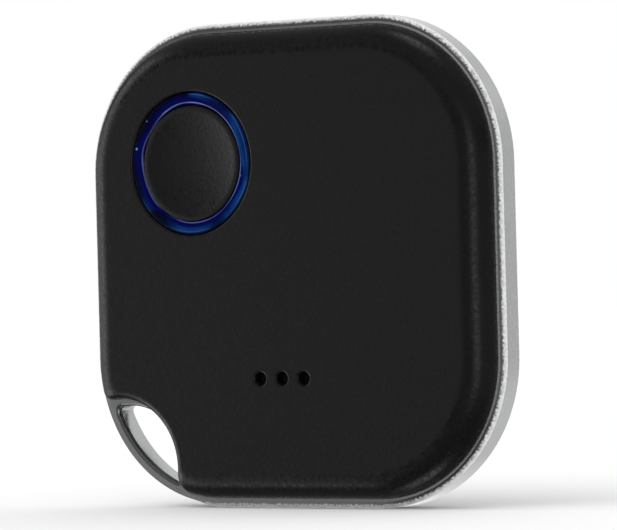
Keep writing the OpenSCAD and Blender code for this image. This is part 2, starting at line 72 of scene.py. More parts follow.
# The fine painted highlight line on the band beside the shells: where it starts, its width and
# its soft border
LINE_OUT, LINE_W, LINE_SOFT = 0.03, 0.15, 0.02
# The key loop: thickness of its bar, metal left beside the notch, round at the opening's ends
LOOP_WALL, LOOP_RIM, LOOP_END_R = 1.05, 0.6, 0.4
# The lip round the key loop's opening, the larger one on its bar, and how far the bar is drawn in
LOOP_LIP, LOOP_ROUND, LOOP_WORN = 0.23, 0.36, 0.25
BUTTON_C, OPENING_R, OPENING_EDGE_R = (-7.65, 7.65), 5.33, 0.18
SOUND_C, SOUND_R, SOUND_EDGE_R, SOUND_PITCH = (0.0, -8.42), 0.48, 0.17, 1.91
CELL_C, CELL_R = (4.45, -4.45), 10.0
# Width of the flat margin that keeps a flat face's shading flat up to a rounded edge
MARGIN = 0.06
# Points along a shell's large round and along a small lip
EDGE_STEPS, LIP_STEPS = 19, 9
# Edges steeper than this, in degrees, stay crisp; points closer than this, in metres, are merged
SHARP_TURN, SAME_PLACE = 32, 2e-7
# A noise texture's values lie mostly between these two
NOISE_LOW, NOISE_HIGH = 0.3, 0.7


def stand_up(points):
    """Tag points in millimetres to the row frame in metres: x stays, z turns to -Y, and y turns to
    Z and is lifted by half the tag."""
    x, y, z = np.moveaxis(np.asarray(points, float), -1, 0)
    return np.stack([x, -z, y + HALF], -1) * MM


def levels(*values):
    """Each value as a column with one row per level, so that it spreads over a loop's points."""
    return [np.atleast_1d(np.asarray(v, float))[:, None] for v in values]


def mirrored(rows, sign=1):
    """Rows from the front to the middle, followed by the same rows, times a sign, to the back."""
    return np.concatenate([rows, sign * rows[::-1]])


def arc(centre, radius, start, end, count, closed=True):
    """Points on a circle: the centre plus the radius times the cosine and sine of angles in
    degrees, spaced evenly from start to end."""
    angle = np.radians(start + (end - start) * np.linspace(0, 1, count, endpoint=closed))
    return np.stack([centre[0] + radius * np.cos(angle), centre[1] + radius * np.sin(angle)], -1)


def meeting(r_corner, r_notch):
    """Where a circle about the corner's centre meets one about the notch's centre: the cosine rule
    gives how far along the corner's diagonal, Pythagoras how far across it. Returns how many
    degrees off the diagonal the place is seen from each centre, and its two coordinates."""
    far = math.sqrt(2) * (-NOTCH_C - CORNER_C)
    along = (far**2 + r_corner**2 - r_notch**2) / (2 * far)
    across = np.sqrt(r_corner**2 - along**2)
    turn = np.degrees(np.arctan2(across, along))
    lean = np.degrees(np.arctan2(across, far - along))
    low = -CORNER_C - (along + across) / math.sqrt(2)
    high = -CORNER_C - (along - across) / math.sqrt(2)
    return turn, lean, low, high


def shell_outline(inset, notch_inset, slot=0.0):
    """The shells' outline, one loop per level, anticlockwise: a rounded square drawn in by the
    inset, whose lower left corner is bitten by the notch's circle, with a horn round where the two
    circles would meet in a point. The slot's depth sets back the middle of the lower side."""
    inset, notch_inset, slot = levels(inset, notch_inset, slot)
    k, r, notch_r = CORNER_C, SHELL_R - inset, NOTCH_R + notch_inset
    turn, lean, low, high = meeting(r - HORN_R, notch_r + HORN_R)
    bottom = inset - SHELL_HALF + slot * np.array([0, 1, 1, 0])
    across = np.broadcast_to(PRY_HALF * np.array([-1, -PRY_FLOOR, PRY_FLOOR, 1]), bottom.shape)
    # Points along a whole corner, each half of the bitten one, a horn and the bite
    whole, half, horn, bite = 28, 14, 13, 33
    return np.concatenate([
        arc((-k, -k), r, 225 + turn, 270, half),
        np.stack([across, bottom], -1),
        arc((k, -k), r, 270, 360, whole),
        arc((k, k), r, 0, 90, whole),
        arc((-k, k), r, 90, 180, whole),
        arc((-k, -k), r, 180, 225 - turn, half),
        arc((low, high), HORN_R, 225 - turn, 225 + lean, horn)[:, 1:],
        arc((NOTCH_C, NOTCH_C), notch_r, 45 + lean, 45 - lean, bite)[:, 1:],
        arc((high, low), HORN_R, 225 - lean, 225 + turn, horn)[:, 1:-1],
    ], axis=1)


def band_outline(inset):
    """The band's rounded square drawn in by the inset, one loop per level, anticlockwise."""
    (inset,) = levels(inset)
    k, r, count = CORNER_C, CORNER_R - inset, 36
    corners = [((k, -k), 270), ((k, k), 0), ((-k, k), 90), ((-k, -k), 180)]
    return np.concatenate([arc(c, r, a, a + 90, count) for c, a in corners], axis=1)


def loop_outline(spread):
    """The key loop's opening, spread out by an offset, one loop per level, anticlockwise: the lens
    that a circle about the corner's centre and one about the notch's centre share, with two
    rounded ends."""
    (spread,) = levels(spread)
    k, end_r = CORNER_C, LOOP_END_R + spread
    r, notch_r = CORNER_R - LOOP_WALL, NOTCH_R - LOOP_RIM
    turn, lean, low, high = meeting(r - LOOP_END_R, notch_r - LOOP_END_R)
    # Points along the bar's side, the notch's side and each end
    bar, bite, end = 26, 30, 15
    return np.concatenate([
        arc((-k, -k), r + spread, 225 - turn, 225 + turn, bar),
        arc((high, low), end_r, 225 + turn, 405 - lean, end)[:, 1:],
        arc((NOTCH_C, NOTCH_C), notch_r + spread, 45 - lean, 45 + lean, bite)[:, 1:],
        arc((low, high), end_r, 45 + lean, 225 - turn, end)[:, 1:-1],
    ], axis=1)


def ring_outline(centre, radius, count):
    """A circle, one loop per level, anticlockwise."""
    (radius,) = levels(radius)
    return arc(centre, radius, 0, 360, count, closed=False)


def quarter(count):
    """Share of the way in and share of the way up along a quarter round, from its top to its side:
    one minus the sine, and the cosine."""
    angle = np.linspace(0, math.pi / 2, count)
    return 1 - np.sin(angle), np.cos(angle)


def inside(points, loop):
    """Which points lie inside a closed loop: a line drawn to the right from such a point crosses
    the loop an odd number of times."""
    x, y = points[:, None, 0], points[:, None, 1]
    ax, ay = loop.T
    bx, by = np.roll(loop, -1, 0).T
    spans = (ay > y) != (by > y)
    rise = np.where(by == ay, 1.0, by - ay)
    return (spans & (x < ax + (bx - ax) * (y - ay) / rise)).sum(1) % 2 == 1


class Skin:
    """Points and faces of one piece, gathered surface by surface."""

    def __init__(self):
        self.points, self.faces, self.ground, self.count = [], [], [], 0

    def take(self, points, ground=0.0):
        """Adds points, with how much painted sheen each one's metal gets, and returns the first's
        number.
        """
        first, self.count = self.count, self.count + len(points)
        self.points.append(points)
        self.ground.append(np.broadcast_to(ground, len(points)))
        return first

    def loft(self, loops, heights, ground=0.0):
        """A surface through a stack of closed loops: point j of loop i joins its neighbours on the
        loop and on the loops above and below. Heights, and how much painted sheen the metal gets,
        are one for each loop or one for each point. Returns the first and last loop as outlines for
        flat faces."""
        rows, cols = loops.shape[:2]
        z = np.broadcast_to(np.reshape(heights, (rows, -1, 1)), (rows, cols, 1))
        ground = np.broadcast_to(ground, (rows, cols)).ravel()
        first = self.take(np.concatenate([loops, z], -1).reshape(-1, 3), ground)
        i, j = np.meshgrid(np.arange(rows - 1), np.arange(cols), indexing="ij")
        a, b = first + i * cols + j, first + i * cols + (j + 1) % cols
        self.faces += np.stack([a, b, b + cols, a + cols], -1).reshape(-1, 4).tolist()
        last = first + (rows - 1) * cols
        return (loops[0], first + np.arange(cols)), (loops[-1], last + np.arange(cols))

    def flat(self, *edges):
        """A flat face between an outer outline and the outlines of its holes, in Delaunay triangles
        that keep every edge of them. A triangle stays if its middle is inside the first outline
        and outside the others."""
        xy, index = (np.concatenate(part) for part in zip(*edges))
        sides, start = [], 0
        for outline, _ in edges:
            corner = start + np.arange(len(outline))
            sides += np.stack([corner, np.roll(corner, -1)], -1).tolist()
            start += len(outline)
        within_hull, closest = 1, 1e-9
        found = np.array(delaunay_2d_cdt(xy.tolist(), sides, [], within_hull, closest)[2])
        middle = xy[found].mean(1)
        kept = inside(middle, edges[0][0])
        for hole, _ in edges[1:]:
            kept &= ~inside(middle, hole)
        self.faces += index[found[kept]].tolist()

    def spin(self, profile, centre, count):
        """A closed ring or knob: each point of the profile, a radius and a height, is carried round
        the centre's axis."""
        profile = np.asarray(profile, float)
        self.loft(ring_outline(centre, profile[:, 0], count), profile[:, 1])

    def tab(self, profile, width, turn, out, along):
        """A tab on one side of the tag: a flat profile, given as out and up, is carried straight
        across its width, closed at both ends, moved out and along its side and turned to that
        side."""
        out_up = np.asarray(profile, float)
        count = len(out_up)
        c, s = math.cos(math.radians(turn)), math.sin(math.radians(turn))
        reach, up = np.tile(out_up[:, 0], 2) + out, np.tile(out_up[:, 1], 2)
        side = np.repeat([-width / 2, width / 2], count) + along
        first = self.take(np.stack([c * reach - s * side, s * reach + c * side, up], -1))
        a = first + np.arange(count)
        b = first + (np.arange(count) + 1) % count
        self.faces += np.stack([a, b, b + count, a + count], -1).tolist()
        self.faces += [a.tolist(), (a + count)[::-1].tolist()]

    def piece(self, name, node, material, body):
        """The gathered surfaces as one closed piece that stands for a CAD node: doubles are merged,
        faces turned outwards, and steep edges kept crisp."""
        mesh = bpy.data.meshes.new(name)
        mesh.from_pydata(stand_up(np.concatenate(self.points)), [], self.faces)
        ground = np.concatenate(self.ground).astype(np.float32)
        if ground.any():
            mesh.attributes.new("ground", "FLOAT", "POINT").data.foreach_set("value", ground)
        tidy = bmesh.new()
        tidy.from_mesh(mesh)
        bmesh.ops.remove_doubles(tidy, verts=tidy.verts, dist=SAME_PLACE)
        bmesh.ops.recalc_face_normals(tidy, faces=tidy.faces)
        tidy.to_mesh(mesh)
        tidy.free()
        mesh.shade_smooth()
        mesh.set_sharp_from_angle(angle=math.radians(SHARP_TURN))
        mesh.materials.append(material)
        made = bpy.data.objects.new(name, mesh)
        scene.collection.objects.link(made)
        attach(made, body)
        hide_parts(node)
        return made


def linear(colour):
    """An sRGB hex colour as linear red, green, blue and alpha."""
    c = np.array([int(colour[i : i + 2], 16) for i in (1, 3, 5)]) / 255
    return (*np.where(c <= 0.04045, c / 12.92, ((c + 0.055) / 1.055) ** 2.4), 1.0)


def add(tree, kind, links=None, **settings):
    """A shader node of a kind with its settings. Links give an input, by name or place, a constant
    or another node's output."""
    made = tree.nodes.new("ShaderNode" + kind)
    for key, value in settings.items():
        setattr(made, key, value)
    for key, value in (links or {}).items():
        if isinstance(value, bpy.types.NodeSocket):
            tree.links.new(value, made.inputs[key])
        else:
            made.inputs[key].default_value = value
    return made


def surface(name):
    """A new material, its node tree and its shader."""
    made = bpy.data.materials.new(name)
    made.use_nodes = True
    return made, made.node_tree, made.node_tree.nodes["Principled BSDF"]


def finish(name, tones, grain, rough, bump, drift=4.0, stretch=(1, 1, 1), metallic=0.0):
    """A finish with two tones that drift over the piece, and a fine grain that sets both the
    roughness and the height. Drift and grain are their sizes and bump is the grain's height, in
    millimetres; stretch draws the grain out along an axis."""
    made, tree, shader = surface(name)
    place = add(tree, "TexCoord").outputs["Object"]
    cloud = add(tree, "TexNoise", {"Vector": place, "Scale": 1 / (drift * MM), "Detail": 4.0})
    dark, pale = linear(tones[0]), linear(tones[1])
    tone = add(tree, "Mix", {0: cloud.outputs["Fac"], 6: dark, 7: pale}, data_type="RGBA")
    drawn = add(tree, "Mapping", {"Vector": place, "Scale": stretch}).outputs[0]
    fine = add(tree, "TexNoise", {"Vector": drawn, "Scale": 1 / (grain * MM), "Detail": 2.0})
    height = fine.outputs["Fac"]
    least, most = rough
    blur = add(tree, "MapRange", {0: height, 1: NOISE_LOW, 2: NOISE_HIGH, 3: least, 4: most})
    tooth = add(tree, "Bump", {"Height": height, "Distance": bump * MM})
    tree.links.new(tone.outputs[2], shader.inputs["Base Color"])
    tree.links.new(blur.outputs[0], shader.inputs["Roughness"])
    tree.links.new(tooth.outputs[0], shader.inputs["Normal"])
    shader.inputs["Metallic"].default_value = metallic
    return made


# ABS moulded against a finely spark-eroded steel: nearly black, satin, with a grain that breaks
# its highlights into speckles. The real grain is about 0.05 mm and is drawn five times coarser.
moulded_black = finish("moulded_black_abs", ("#0e0e0e", "#101010"), 0.26, (0.14, 0.44), 0.013)
# The cap's own moulding, with a rougher spark texture that scatters more light, drawn as coarse.
cap_black = finish(
    "spark_textured_black_abs", ("#0a0a0a", "#151515"), 0.24, (0.26, 0.46), 0.022, drift=0.3
)
# Silicone die-cut from sheet: dull and a little dusty.
seal_silicone = finish("die_cut_silicone", ("#33363b", "#3f4247"), 0.12, (0.55, 0.7), 0.004)
# Glass-filled nylon moulded plain: dark grey with a faint cloud of fibre.
tray_nylon = finish(
    "moulded_glass_filled_nylon", ("#25262a", "#303135"), 0.2, (0.42, 0.6), 0.006, drift=1.6
)
# Epoxy transfer-moulded round a chip: black, fine and matt.
chip_epoxy = finish("moulded_epoxy", ("#131315", "#1c1c1f"), 0.08, (0.45, 0.6), 0.003)
# Fired alumina and aerial ceramic: off-white with a fine tooth.
pale_ceramic = finish("fired_pale_ceramic", ("#d6d9d4", "#e6e6de"), 0.1, (0.35, 0.5), 0.003)
# Barium titanate, fired: tan and slightly waxy.
tan_ceramic = finish("fired_tan_ceramic", ("#a98a60", "#c0a47c"), 0.1, (0.35, 0.5), 0.003)
# Spring steel, nickel plated and stamped: bright, with rolling marks along the strip.
spring_steel = finish(
    "nickel_plated_spring_steel", ("#bcbec0", "#d2d3d4"), 0.06, (0.18, 0.32), 0.001,
    stretch=(0.15, 1, 1), metallic=1.0,
)
# Steel screws, zinc plated and passivated: grey with a faint warm and cool cloud.
screw_zinc = finish(
    "zinc_plated_steel", ("#84878c", "#a09c92"), 0.08, (0.28, 0.42), 0.002, drift=0.8, metallic=1.0
)
# Rolled brass sheet: yellow, with rolling marks and a faint tarnish.
rolled_brass = finish(
    "rolled_brass", ("#b8923c", "#cfae62"), 0.07, (0.22, 0.36), 0.001, drift=2.0,
    stretch=(1, 1, 0.12), metallic=1.0,
)
# Acrylic adhesive on a paper carrier: cream, dull and fibrous.
adhesive_film = finish(
    "die_cut_adhesive_film", ("#ddd6c0", "#efe9d8"), 0.15, (0.6, 0.8), 0.004, drift=1.0
)
# Drawn stainless steel of the cell's can: soft rolling marks under a bright nickel.
drawn_steel = finish(
    "drawn_stainless_steel", ("#b6b8ba", "#c8c9ca"), 0.08, (0.2, 0.34), 0.001, drift=3.0,
    stretch=(0.1, 1, 1), metallic=1.0,
)
# Polypropylene, moulded thin: grey and waxy.
gasket_grey = finish("moulded_polypropylene", ("#44474c", "#54575c"), 0.1, (0.4, 0.55), 0.003)


def woven_cloth():
    """Polyester gauze: two sets of threads at right angles, each a sine across the cloth, the
    higher of which shows."""
    made, tree, shader = surface("woven_polyester_gauze")
    place = add(tree, "TexCoord").outputs["Object"]
    # Threads 0.12 mm apart and 0.03 mm high; a wave texture repeats every pi / 10 of its own scale
    pitch, high = 0.12, 0.03
    cloth = {"Vector": place, "Scale": math.pi / (10 * pitch * MM)}
    warp = add(tree, "TexWave", cloth, bands_direction="X").outputs["Fac"]
    weft = add(tree, "TexWave", cloth, bands_direction="Z").outputs["Fac"]
    top = add(tree, "Math", {0: warp, 1: weft}, operation="MAXIMUM").outputs[0]
    tone = add(tree, "Mix", {0: top, 6: linear("#050505"), 7: linear("#191919")}, data_type="RGBA")
    height = add(tree, "Bump", {"Height": top, "Distance": high * MM})
    tree.links.new(tone.outputs[2], shader.inputs["Base Color"])
    tree.links.new(height.outputs[0], shader.inputs["Normal"])
    shader.inputs["Roughness"].default_value = 0.85
    return made


def plated_zinc():
    """Zinc, plated with satin nickel: a softly blurred mirror. Where the piece is marked with
    painted sheen, the metal is made rougher and less metallic and its colour painted white, a
    painted highlight that stands in for the bright reflection of the band's edges. Marks above
    nought have a border, round the middle between bare and full sheen, that a noise frays; marks
    below nought paint the sheen evenly."""
    made = finish("satin_nickel_plated_zinc", ("#b0b1b2", "#b8b9ba"), 0.14, (0.12, 0.22), 0.003)
    tree, shader = made.node_tree, made.node_tree.nodes["Principled BSDF"]
    place = add(tree, "TexCoord").outputs["Object"]
    mark = add(tree, "Attribute", attribute_name="ground").outputs["Fac"]
    # A noise about 0.2 mm across that frays the painted highlight's border, and how far it pushes
    # the border; roughness under the painted sheen, and how metallic bare and sheened metal are.
    # Grinding marks about 0.2 mm apart, coarser than real ones, which wouldn't show, and how far
    # they push the border; roughness of the frost, and how metallic bare and frosted metal are
    pitch, push = 0.2, 0.7
    sheen_rough, bare_metal, sheen_metal = 0.45, 0.96, 0.12
    fray = add(tree, "TexNoise", {"Vector": place, "Scale": 1 / (pitch * MM), "Detail": 3.0})
    fray = fray.outputs["Fac"]
    past_bare = add(tree, "MapRange", {0: mark, 1: 0.0, 2: 0.5}).outputs[0]
    short_of_full = add(tree, "MapRange", {0: mark, 1: 1.0, 2: 0.5}).outputs[0]
    border = add(tree, "Math", {0: past_bare, 1: short_of_full}, operation="MULTIPLY").outputs[0]
    shift = add(tree, "MapRange", {0: fray, 1: NOISE_LOW, 2: NOISE_HIGH, 3: -push, 4: push})
    pushed = add(
        tree, "Math", {0: shift.outputs[0], 1: border, 2: mark}, operation="MULTIPLY_ADD"
    ).outputs[0]
    frayed = add(tree, "MapRange", {0: pushed, 1: 0.05, 2: 0.95}).outputs[0]
    even = add(tree, "MapRange", {0: mark, 1: 0.0, 2: -1.0}).outputs[0]
    sheen_share = add(tree, "Math", {0: frayed, 1: even}, operation="MAXIMUM").outputs[0]
    tone = shader.inputs["Base Color"].links[0].from_socket
    rough = shader.inputs["Roughness"].links[0].from_socket
    # Painted highlight: the sheen's colour, light grey to white, speckled by the noise
    dull, white = linear("#e2e2e2"), linear("#ffffff")
    speck = add(tree, "Mix", {0: fray, 6: dull, 7: white}, data_type="RGBA").outputs[2]
    sheen_tone = add(tree, "Mix", {0: sheen_share, 6: tone, 7: speck}, data_type="RGBA")
    blur = add(tree, "MapRange", {0: sheen_share, 3: rough, 4: sheen_rough})
    metal = add(tree, "MapRange", {0: sheen_share, 3: bare_metal, 4: sheen_metal})
    tree.links.new(sheen_tone.outputs[2], shader.inputs["Base Color"])
    tree.links.new(blur.outputs[0], shader.inputs["Roughness"])
    tree.links.new(metal.outputs[0], shader.inputs["Metallic"])
    return made


def board_mask():
    """Solder mask over copper on a glass laminate. Random square fields carry bundles of parallel
    copper runs, upright, level or at 45 degrees, or solid copper; copper shows as a lighter,
    slightly raised green. Small tinned rings with a dark hole stand here and there."""
    made, tree, shader = surface("solder_masked_laminate")
    # In millimetres: the width of a field and of a run, which is also the gap beside it, a run's
    # soft edge and its height, and the thread of the glass cloth
    field_w, run_w, soft, high, thread = 3.4, 0.2, 0.01, 0.03, 0.3
    # How far apart the rings are, and a ring's and its hole's radius, in millimetres
    every, ring_r, hole_r = 2.3, 0.2, 0.1
    # A field's random numbers, past which its runs are level, at 45 degrees or solid
    level_past, tilted_past, solid_past = 0.4, 0.75, 0.68
    place = add(tree, "TexCoord").outputs["Object"]
    split = add(tree, "SeparateXYZ", {0: place})
    x, z = split.outputs[0], split.outputs[2]
    flat = add(tree, "CombineXYZ", {0: x, 1: z}).outputs[0]
    fields = {"Vector": flat, "Scale": 1 / (field_w * MM)}
    field = add(tree, "TexVoronoi", fields, distance="CHEBYCHEV", voronoi_dimensions="2D")
    pick = add(tree, "SeparateColor", {0: field.outputs["Color"]})
    way, filled = pick.outputs[0], pick.outputs[1]
    both = add(tree, "Math", {0: x, 1: z}, operation="ADD").outputs[0]
    slant = add(tree, "Math", {0: both, 1: math.sqrt(0.5)}, operation="MULTIPLY").outputs[0]
    level = add(tree, "Math", {0: way, 1: level_past}, operation="GREATER_THAN").outputs[0]
    tilted = add(tree, "Math", {0: way, 1: tilted_past}, operation="GREATER_THAN").outputs[0]
    solid = add(tree, "Math", {0: filled, 1: solid_past}, operation="GREATER_THAN").outputs[0]
    square = add(tree, "Mix", {0: level, 2: x, 3: z}).outputs[0]
    along = add(tree, "Mix", {0: tilted, 2: square, 3: slant}).outputs[0]
    wave = add(tree, "Math", {0: along, 1: run_w * MM}, operation="PINGPONG").outputs[0]
    start, end = (run_w / 2 - soft) * MM, (run_w / 2 + soft) * MM
    line = add(tree, "MapRange", {0: wave, 1: start, 2: end}).outputs[0]
    run = add(tree, "Math", {0: line, 1: solid}, operation="MAXIMUM").outputs[0]
    spots = {"Vector": flat, "Scale": 1 / (every * MM)}
    apart = add(tree, "TexVoronoi", spots, voronoi_dimensions="2D").outputs["Distance"]
    ring = add(tree, "Math", {0: apart, 1: ring_r / every}, operation="LESS_THAN").outputs[0]
    hole = add(tree, "Math", {0: apart, 1: hole_r / every}, operation="LESS_THAN").outputs[0]
    tone = linear("#123c27")
    for share, colour in ((run, "#226642"), (ring, "#b9ad84"), (hole, "#0b1a12")):
        tone = add(tree, "Mix", {0: share, 6: tone, 7: linear(colour)}, data_type="RGBA").outputs[2]
    weave = add(tree, "TexNoise", {"Vector": place, "Scale": 1 / (thread * MM), "Detail": 3.0})
    cloudy = add(
        tree, "Mix", {0: 0.18, 6: tone, 7: weave.outputs["Color"]},
        data_type="RGBA", blend_type="SOFT_LIGHT",
    )
    height = add(tree, "Bump", {"Height": run, "Distance": high * MM})
    tree.links.new(cloudy.outputs[2], shader.inputs["Base Color"])
    tree.links.new(height.outputs[0], shader.inputs["Normal"])
    shader.inputs["Roughness"].default_value = 0.32
    return made


def clear_blue():
    """Polycarbonate tinted blue and moulded clear, with the light that runs round inside it painted
    into its colour: a painted glow makes it deep navy in places and lit blue in others. The drift
    between the two follows a slow noise, and a painted highlight line that wanders a little runs
    round near each edge."""
    made, tree, shader = surface("clear_moulded_blue_polycarbonate")
    place = add(tree, "TexCoord").outputs["Object"]
    axis = tuple(stand_up((*BUTTON_C, 0.0)))
    off = add(tree, "VectorMath", {0: place, 1: axis}, operation="SUBTRACT").outputs[0]
    in_mm = (1 / MM, 0.0, 1 / MM)
    flat = add(tree, "VectorMath", {0: off, 1: in_mm}, operation="MULTIPLY").outputs[0]
    radius = add(tree, "VectorMath", {0: flat}, operation="LENGTH").outputs["Value"]
    # Sizes of the slow drift, the sweep of the borders and the painted glints
    slow_mm, sweep_mm, speck_mm = 2.4, 3.5, 0.7
    slow = add(tree, "TexNoise", {"Vector": place, "Scale": 1 / (slow_mm * MM), "Detail": 1.5})
    slow = slow.outputs["Fac"]
    sweep = add(tree, "TexNoise", {"Vector": off, "Scale": 1 / (sweep_mm * MM), "Detail": 1.0})
    sweep = sweep.outputs["Fac"]
    swing = {0: sweep, 1: NOISE_LOW, 2: NOISE_HIGH}
    # Painted light: the side away from the upper left is painted lighter, by so much for each
    # millimetre
    painted_side_light = (0.011, 0.0, -0.011)
    lean = add(tree, "VectorMath", {0: flat, 1: painted_side_light}, operation="DOT_PRODUCT").outputs["Value"]
    drift_and_side_light = add(tree, "Math", {0: slow, 1: lean}, operation="ADD").outputs[0]
    # Painted glow: the lit blue follows the slow drift
    lit = add(tree, "ValToRGB", {0: drift_and_side_light})
    stops = lit.color_ramp.elements
    blues = ((0.36, "#02031c"), (0.46, "#02113e"), (0.56, "#022050"), (0.66, "#05306a"))
    for share, _ in blues[1:-1]:
        stops.new(share)
    for stop, (share, colour) in zip(stops, blues):
        stop.position, stop.color = share, linear(colour)
    # The inner half is navy, outside the painted glow; the border between the halves sweeps in and
    # out round this radius
    halves, soft, reach = 4.75, 0.13, 0.35
    drift = add(tree, "MapRange", {**swing, 3: -reach, 4: reach}).outputs[0]
    swept = add(tree, "Math", {0: radius, 1: drift}, operation="ADD").outputs[0]
    outer = add(
        tree, "MapRange", {0: swept, 1: halves - soft, 2: halves + soft},
        interpolation_type="SMOOTHSTEP",
    ).outputs[0]
    navy = linear("#020444")
    tone = add(tree, "Mix", {0: outer, 6: navy, 7: lit.outputs[0]}, data_type="RGBA").outputs[2]
    # Painted shade: the outer rim is painted darker between these two radii, where the guide
    # meets the shell
    shade_from, shade_to, darkest = 4.98, 5.25, 0.65
    rim = add(tree, "MapRange", {0: swept, 1: shade_from, 2: shade_to, 4: darkest}).outputs[0]
    tone = add(tree, "Mix", {0: rim, 6: tone, 7: linear("#030a20")}, data_type="RGBA").outputs[2]
    # Two painted highlight lines about 0.1 mm wide, one inside and one outside, wander by 0.08 mm
    # round circles of which one is a little off the axis. For each: its centre, its radius, its
    # colour, and its strength where the slow drift is dim, to which the gain is added where that is
    # full
    wander, core, fade = 0.08, 0.01, 0.07
    dim, full, gain = 0.4, 0.62, 0.6
    inner_highlight = ((0.05, 0, 0.05), 4.43, "#6c79ae", 0.3)
    outer_highlight = ((0, 0, 0), 5.1, "#3463ae", -0.15)
    for centre, reach, colour, least in (inner_highlight, outer_highlight):
        moved = add(tree, "VectorMath", {0: flat, 1: centre}, operation="SUBTRACT").outputs[0]
        span = add(tree, "VectorMath", {0: moved}, operation="LENGTH").outputs["Value"]
        path = add(tree, "MapRange", {**swing, 3: -reach - wander, 4: wander - reach}).outputs[0]
        apart = add(tree, "Math", {0: span, 1: path}, operation="ADD").outputs[0]
        near = add(tree, "Math", {0: apart}, operation="ABSOLUTE").outputs[0]
        line = add(
            tree, "MapRange", {0: near, 1: core, 2: fade, 3: 1.0, 4: 0.0},
            interpolation_type="SMOOTHSTEP",
        ).outputs[0]
        ends = {1: dim, 2: full, 3: least, 4: least + gain}
        glow = add(tree, "MapRange", {0: slow, **ends}).outputs[0]
        pale = add(tree, "Math", {0: line, 1: glow}, operation="MULTIPLY").outputs[0]
        tone = add(tree, "Mix", {0: pale, 6: tone, 7: linear(colour)}, data_type="RGBA").outputs[2]
    # A few painted glints: bright specks where light leaves the guide
    quick = add(tree, "TexNoise", {"Vector": place, "Scale": 1 / (speck_mm * MM), "Detail": 1.0})
    speck = add(
        tree, "MapRange", {0: quick.outputs["Fac"], 1: 0.74, 2: 0.8},
        interpolation_type="SMOOTHSTEP",
    ).outputs[0]
    tone = add(tree, "Mix", {0: speck, 6: tone, 7: linear("#5f9ade")}, data_type="RGBA").outputs[2]
    tree.links.new(tone, shader.inputs["Base Color"])
    shader.inputs["Roughness"].default_value = 0.1
    shader.inputs["IOR"].default_value = 1.58
    shader.inputs["Specular IOR Level"].default_value = 0.05
    return made


mesh_cloth, plated_band = woven_cloth(), plated_zinc()
mask_green, light_blue = board_mask(), clear_blue()


def shell_insets(height):
    """How far a shell's outline and its notch are drawn in: on the flat of the face, at heights
    above the band's middle, and twice each for the skirt and the cavity. Both follow a quarter
    round, the notch a smaller one at the top."""
    edge = EDGE_R - np.sqrt(np.clip(EDGE_R**2 - (height - RIM_Z) ** 2, 0, None))
    lip = np.clip(height - (FACE_Z - NOTCH_EDGE_R), 0, None)
    bite = NOTCH_EDGE_R - np.sqrt(NOTCH_EDGE_R**2 - lip**2)
    skirt = [SKIRT_IN, SKIRT_IN, CAVITY_IN, CAVITY_IN]
    rounds = ((EDGE_R, edge), (NOTCH_EDGE_R, bite))
    return [np.concatenate([[r + MARGIN], drawn, skirt]) for r, drawn in rounds]


def front_shell():
    """The front shell: a stack of outlines runs from the face over the quarter round to the band,
    in and down the skirt, and up the cavity's wall to the inside of the face. The notch has a
    smaller quarter round of its own, evaluated at the same heights. Holes are stacks of circles
    with a rounded lip."""
    skin = Skin()
    height = RIM_Z + EDGE_R * quarter(EDGE_STEPS)[1]
    inset, bite = shell_insets(height)
    skirt = [RIM_Z, FRONT_SKIRT_Z, FRONT_SKIRT_Z, FRONT_IN_Z]
    outer = skin.loft(shell_outline(inset, bite), np.concatenate([[FACE_Z], height, skirt]))
    # Each hole's centre, radius, lip and number of points
    holes = [(BUTTON_C, OPENING_R, OPENING_EDGE_R, 128)]
    for step in (-1, 0, 1):
        centre = (SOUND_C[0] + step * SOUND_PITCH, SOUND_C[1])
        holes.append((centre, SOUND_R, SOUND_EDGE_R, 40))
    edges = [outer]
    share, rise = quarter(LIP_STEPS)
    for centre, r, lip, count in holes:
        radius = np.concatenate([[r + lip + MARGIN / 2], r + lip * share, [r]])
        z = np.concatenate([[FACE_Z], FACE_Z - lip + lip * rise, [FRONT_IN_Z]])
        edges.append(skin.loft(ring_outline(centre, radius, count), z))
    for face in zip(*edges):
        skin.flat(*face)
    skin.piece("front_shell_skin", "front_shell", moulded_black, "case")


def back_cover():
    """The back cover: the front's stack of outlines turned over, with a shallower cavity, a pry
    slot cut into the lower edge between two heights, four snap arms with a bead at their tips, and
    a round rib that holds the cell down."""
    skin = Skin()
    slot_top = RIM_Z + PRY_H
    height = np.append(RIM_Z + EDGE_R * quarter(EDGE_STEPS)[1], [slot_top, slot_top])
    height = np.sort(height)[::-1]
    inset, bite = shell_insets(height)
    slot = np.where(height > slot_top, 0.0, PRY_DEPTH - inset[1:-4])
    slot[np.argmax(height == slot_top)] = 0.0
    slot = np.concatenate([[0], slot, [0, 0, 0, 0]])
    z = np.concatenate([[-FACE_Z], -height, [-RIM_Z, SEAL_Z, SEAL_Z, BACK_IN_Z]])
    for face in skin.loft(shell_outline(inset, bite, slot), z):
        skin.flat(face)
    # An arm's profile, out from the cavity's wall and up, and each arm's side and place along it
    arm_w = 3.0
    arm = [
        (-0.55, BACK_IN_Z), (0.3, BACK_IN_Z), (0.3, SEAL_Z), (-0.05, SEAL_Z), (-0.05, -0.25),
        (0.17, -0.2), (0.17, -0.08), (0.09, 0.0), (-0.5, 0.0), (-0.55, -0.05),
    ]
    for turn, along in [(0, 1.0), (90, -3.0), (180, -3.0), (270, 5.0)]:
        skin.tab(arm, arm_w, turn, SHELL_HALF - CAVITY_IN, along)
    # The rib's width, the height of its top and its broken edges
    wide, top, soft = 0.7, -2.05, 0.05
    rib_r = CELL_R / 2 + np.array([0, wide, wide, wide - soft, soft, 0, 0])
    rib_z = [BACK_IN_Z, BACK_IN_Z, top - soft, top, top, top - soft, BACK_IN_Z]
    skin.spin(np.stack([rib_r, rib_z], -1), CELL_C, 96)
    skin.piece("back_cover_skin", "back_cover", moulded_black, "cover")


